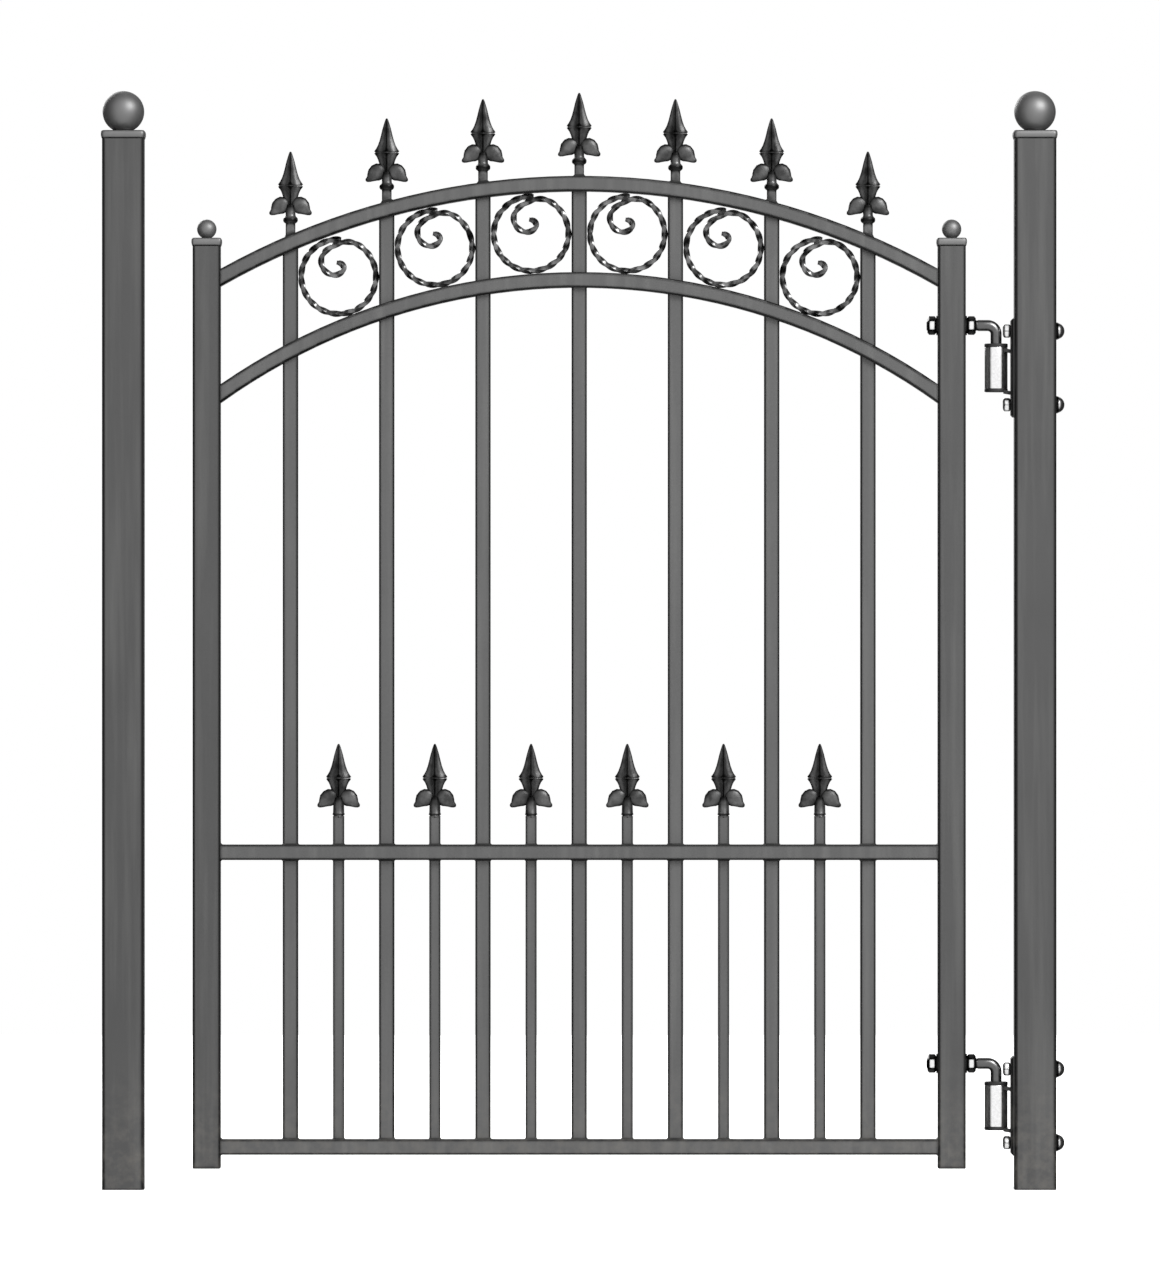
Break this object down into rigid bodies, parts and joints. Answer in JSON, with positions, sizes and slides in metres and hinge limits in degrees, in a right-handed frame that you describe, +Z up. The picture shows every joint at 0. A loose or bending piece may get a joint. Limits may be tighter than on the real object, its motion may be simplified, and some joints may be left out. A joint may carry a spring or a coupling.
{
  "type": "garden gate",
  "caption": "Arched picket garden gate with spearheads and scroll rings, hung on lift-off J-bolt hinges between square, ball-topped posts.",
  "frame": {"origin": "on the ground, midway between the posts, in the leaf's mid-plane", "axes": "+X from the latch post to the hinge post, +Y through the gateway, away from the front, +Z up"},
  "size_m": [1.3862, 0.0634, 1.5805],
  "materials": {
    "post_paint": "satin grey powder coat",
    "leaf_paint": "satin grey powder coat",
    "spear_casting": "dark painted casting",
    "scroll_iron": "dark painted twisted bar",
    "hinge_zinc": "bright zinc plate",
    "fastener_zinc": "bright zinc plate",
    "bush_nylon": "black nylon",
    "plug_steel": "black enamel",
    "disc_bronze": "turned bronze",
    "foot_plug_plastic": "black moulded plastic"
  },
  "bodies": {
    "posts": {"latch_post": "post_paint", "hinge_post": "post_paint", "latch_post_cap": "post_paint", "hinge_post_cap": "post_paint", "upper_hinge_bracket": "post_paint", "lower_hinge_bracket": "post_paint", "upper_hinge_barrel": "hinge_zinc", "lower_hinge_barrel": "hinge_zinc", "upper_hinge_bush": "bush_nylon", "lower_hinge_bush": "bush_nylon", "hinge_barrel_plugs": "plug_steel", "post_bolts": "fastener_zinc", "post_bolt_nuts": "fastener_zinc", "post_bolt_washers": "fastener_zinc"},
    "hinge_bearings": {"hinge_thrust_discs": "disc_bronze"},
    "leaf": {"latch_stile": "leaf_paint", "hinge_stile": "leaf_paint", "latch_stile_cap": "leaf_paint", "hinge_stile_cap": "leaf_paint", "stile_foot_plugs": "foot_plug_plastic", "top_arch_rail": "leaf_paint", "lower_arch_rail": "leaf_paint", "mid_rail": "leaf_paint", "bottom_rail": "leaf_paint", "upper_j_bolt": "hinge_zinc", "lower_j_bolt": "hinge_zinc", "j_bolt_nuts": "fastener_zinc", "j_bolt_washers": "fastener_zinc", "tall_picket_1": "leaf_paint", "tall_picket_2": "leaf_paint", "tall_picket_3": "leaf_paint", "tall_picket_4": "leaf_paint", "tall_picket_5": "leaf_paint", "tall_picket_6": "leaf_paint", "tall_picket_7": "leaf_paint", "tall_spear_1": "spear_casting", "tall_spear_2": "spear_casting", "tall_spear_3": "spear_casting", "tall_spear_4": "spear_casting", "tall_spear_5": "spear_casting", "tall_spear_6": "spear_casting", "tall_spear_7": "spear_casting", "short_picket_1": "leaf_paint", "short_picket_2": "leaf_paint", "short_picket_3": "leaf_paint", "short_picket_4": "leaf_paint", "short_picket_5": "leaf_paint", "short_picket_6": "leaf_paint", "short_spear_1": "spear_casting", "short_spear_2": "spear_casting", "short_spear_3": "spear_casting", "short_spear_4": "spear_casting", "short_spear_5": "spear_casting", "short_spear_6": "spear_casting", "scroll_1": "scroll_iron", "scroll_2": "scroll_iron", "scroll_3": "scroll_iron", "scroll_4": "scroll_iron", "scroll_5": "scroll_iron", "scroll_6": "scroll_iron"}
  },
  "joints": [
    {"name": "leaf_swing", "type": "hinge", "parent": "posts", "child": "hinge_bearings", "pos_m": [0.6, 0, 0], "axis": [0, 0, 1], "range_deg": [-100, 100]},
    {"name": "leaf_lift", "type": "slide", "parent": "hinge_bearings", "child": "leaf", "axis": [0, 0, 1], "range_m": [0, 0.045]}
  ]
}
